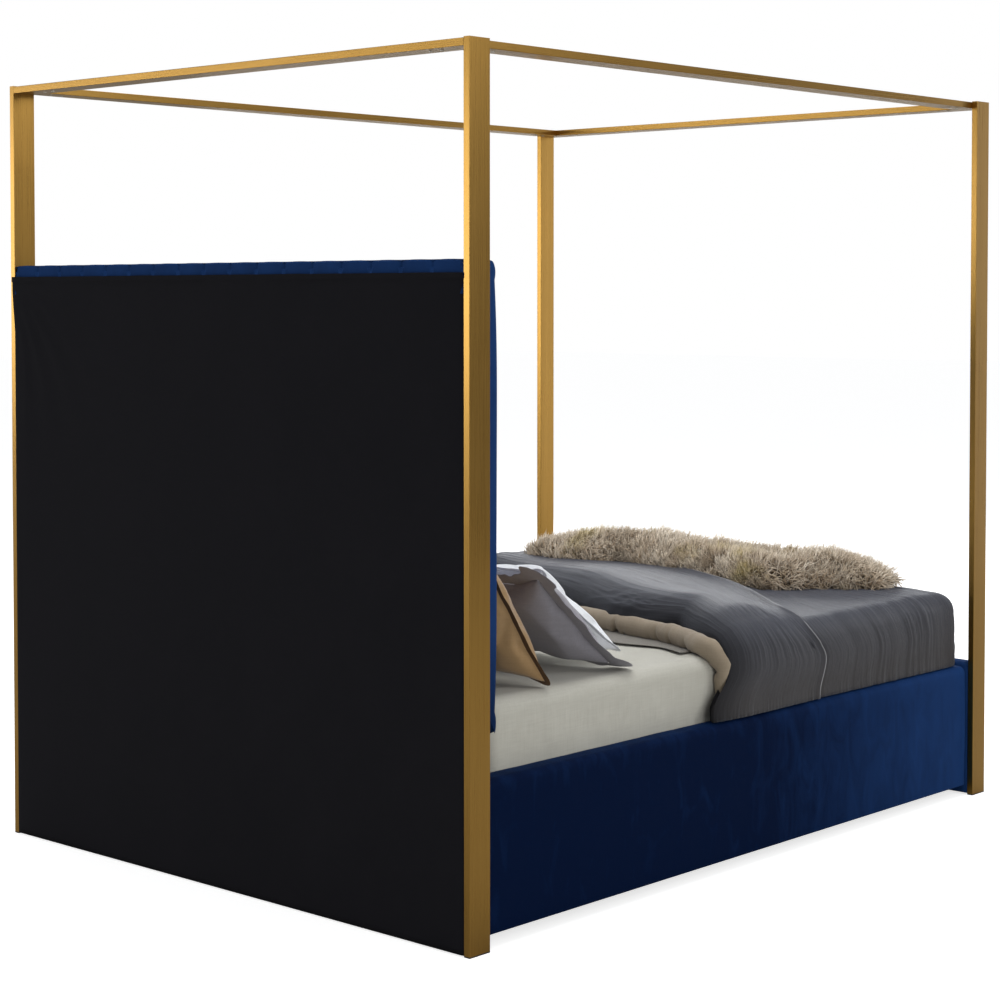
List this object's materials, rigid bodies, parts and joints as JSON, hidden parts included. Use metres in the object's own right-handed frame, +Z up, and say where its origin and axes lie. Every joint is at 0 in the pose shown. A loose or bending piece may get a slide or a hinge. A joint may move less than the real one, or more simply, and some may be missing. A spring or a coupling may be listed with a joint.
{
  "type": "four poster canopy bed",
  "caption": "Queen four poster bed with a square gold metal canopy frame, channelled velvet headboard closed at the back, velvet side rails, and a mattress made up with bedding.",
  "frame": {"origin": "on the floor, under the middle of the bed", "axes": "+Z up, +Y towards the headboard, +X towards the right side as seen from the foot"},
  "size_m": [1.706, 2.223, 2.032],
  "materials": {
    "gold_metal": "satin",
    "black_nylon": "matte",
    "zinc_steel": "satin",
    "black_steel": "matte",
    "timber": "matte",
    "plywood": "matte",
    "foam": "matte",
    "navy_velvet": "matte",
    "black_dust_cloth": "matte",
    "webbing": "matte",
    "mattress_ticking": "matte",
    "ivory_sheet": "matte",
    "beige_quilting": "matte",
    "grey_duvet": "matte",
    "cream_fur": "matte",
    "tan_pillow": "satin",
    "grey_pillow": "satin",
    "white_pillow": "matte"
  },
  "bodies": {
    "bed_frame": {"beam_hangers": "zinc_steel", "canopy_corner_plates": "zinc_steel", "canopy_end_plugs": "zinc_steel", "canopy_pins": "zinc_steel", "canopy_rail_foot": "gold_metal", "canopy_rail_head": "gold_metal", "canopy_rail_left": "gold_metal", "canopy_rail_right": "gold_metal", "canopy_screws": "zinc_steel", "centre_beam": "black_steel", "centre_leg_1": "black_steel", "centre_leg_2": "black_steel", "centre_leg_3": "black_steel", "corner_bolts": "zinc_steel", "corner_brackets": "zinc_steel", "footboard_core": "timber", "footboard_cover": "navy_velvet", "headboard_cover": "navy_velvet", "headboard_dust_cover": "black_dust_cloth", "headboard_foam": "foam", "headboard_frame": "timber", "headboard_panel": "plywood", "headboard_top_wrap": "navy_velvet", "ledger_left": "timber", "ledger_right": "timber", "ledger_screws": "zinc_steel", "post_bolts": "zinc_steel", "post_foot_left": "gold_metal", "post_foot_right": "gold_metal", "post_glides": "black_nylon", "post_head_left": "gold_metal", "post_head_right": "gold_metal", "post_top_caps": "gold_metal", "rail_bottom_strips": "black_dust_cloth", "side_rail_core_left": "timber", "side_rail_core_right": "timber", "side_rail_cover_left": "navy_velvet", "side_rail_cover_right": "navy_velvet", "slat_screws": "zinc_steel", "slat_straps": "webbing", "slats": "timber"},
    "mattress": {"mattress": "mattress_ticking", "fitted_sheet": "ivory_sheet"},
    "quilt": {"quilt": "beige_quilting"},
    "duvet": {"duvet": "grey_duvet"},
    "throw": {"fur_throw": "cream_fur"},
    "pillow_tan_left": {"pillow_tan_left": "tan_pillow"},
    "pillow_grey_left": {"pillow_grey_left": "grey_pillow"},
    "pillow_white_left": {"pillow_white_left": "white_pillow"},
    "pillow_tan_right": {"pillow_tan_right": "tan_pillow"},
    "pillow_grey_right": {"pillow_grey_right": "grey_pillow"},
    "pillow_white_right": {"pillow_white_right": "white_pillow"},
    "foot_pad_1": {"foot_pad_1": "black_nylon"},
    "foot_stem_1": {"foot_stem_1": "zinc_steel"},
    "foot_pad_2": {"foot_pad_2": "black_nylon"},
    "foot_stem_2": {"foot_stem_2": "zinc_steel"},
    "foot_pad_3": {"foot_pad_3": "black_nylon"},
    "foot_stem_3": {"foot_stem_3": "zinc_steel"}
  },
  "joints": [
    {"name": "mattress_lift", "type": "slide", "parent": "bed_frame", "child": "mattress", "axis": [0, 0, 1], "range_m": [0, 0.3]},
    {"name": "quilt_lift", "type": "slide", "parent": "mattress", "child": "quilt", "axis": [0, 0, 1], "range_m": [0, 0.2]},
    {"name": "duvet_lift", "type": "slide", "parent": "quilt", "child": "duvet", "axis": [0, 0, 1], "range_m": [0, 0.2]},
    {"name": "throw_lift", "type": "slide", "parent": "duvet", "child": "throw", "axis": [0, 0, 1], "range_m": [0, 0.2]},
    {"name": "pillow_tan_left_lift", "type": "slide", "parent": "mattress", "child": "pillow_tan_left", "axis": [0, 0, 1], "range_m": [0, 0.2]},
    {"name": "pillow_grey_left_lift", "type": "slide", "parent": "pillow_tan_left", "child": "pillow_grey_left", "axis": [0, 0, 1], "range_m": [0, 0.2]},
    {"name": "pillow_white_left_lift", "type": "slide", "parent": "pillow_grey_left", "child": "pillow_white_left", "axis": [0, 0, 1], "range_m": [0, 0.2]},
    {"name": "pillow_tan_right_lift", "type": "slide", "parent": "mattress", "child": "pillow_tan_right", "axis": [0, 0, 1], "range_m": [0, 0.2]},
    {"name": "pillow_grey_right_lift", "type": "slide", "parent": "pillow_tan_right", "child": "pillow_grey_right", "axis": [0, 0, 1], "range_m": [0, 0.2]},
    {"name": "pillow_white_right_lift", "type": "slide", "parent": "pillow_grey_right", "child": "pillow_white_right", "axis": [0, 0, 1], "range_m": [0, 0.2]},
    {"name": "foot_1_extend", "type": "slide", "parent": "bed_frame", "child": "foot_pad_1", "axis": [0, 0, -1], "range_m": [0, 0.012]},
    {"name": "foot_1_turn", "type": "hinge", "parent": "foot_pad_1", "child": "foot_stem_1", "pos_m": [0, -0.51687, 0.02], "axis": [0, 0, -1], "range_deg": [0, 2881]},
    {"name": "foot_2_extend", "type": "slide", "parent": "bed_frame", "child": "foot_pad_2", "axis": [0, 0, -1], "range_m": [0, 0.012]},
    {"name": "foot_2_turn", "type": "hinge", "parent": "foot_pad_2", "child": "foot_stem_2", "pos_m": [0, 0.01175, 0.02], "axis": [0, 0, -1], "range_deg": [0, 2881]},
    {"name": "foot_3_extend", "type": "slide", "parent": "bed_frame", "child": "foot_pad_3", "axis": [0, 0, -1], "range_m": [0, 0.012]},
    {"name": "foot_3_turn", "type": "hinge", "parent": "foot_pad_3", "child": "foot_stem_3", "pos_m": [0, 0.54038, 0.02], "axis": [0, 0, -1], "range_deg": [0, 2881]}
  ],
  "couplings": [
    {"joint": "foot_1_turn", "follows": "foot_1_extend", "rad_per_m": 4188.8},
    {"joint": "foot_2_turn", "follows": "foot_2_extend", "rad_per_m": 4188.8},
    {"joint": "foot_3_turn", "follows": "foot_3_extend", "rad_per_m": 4188.8}
  ]
}
